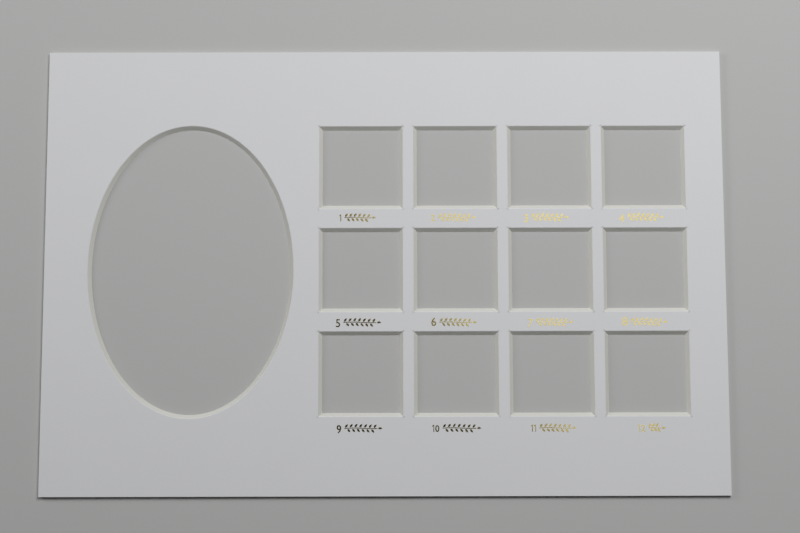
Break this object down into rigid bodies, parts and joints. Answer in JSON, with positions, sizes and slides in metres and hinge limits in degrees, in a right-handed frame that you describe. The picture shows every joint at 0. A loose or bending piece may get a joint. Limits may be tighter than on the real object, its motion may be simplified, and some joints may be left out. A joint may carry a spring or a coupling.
{
  "type": "multi-window picture mount",
  "caption": "Flat sheet of white mount board with bevel-cut windows: one large oval beside a grid of small squares, to fit in a picture frame.",
  "frame": {"origin": "middle of the back face, which lies on the surface", "axes": "+X along the long side, from the oval towards the squares; +Y towards the top edge; +Z out of the face"},
  "size_m": [0.305, 0.2, 0.0017],
  "materials": {
    "mount_board": "matt white surface paper, white core showing at the bevels",
    "gold_foil": "thin hot-pressed gold foil, on the face only"
  },
  "bodies": {
    "root": {"mount_board": "mount_board"}
  },
  "joints": []
}
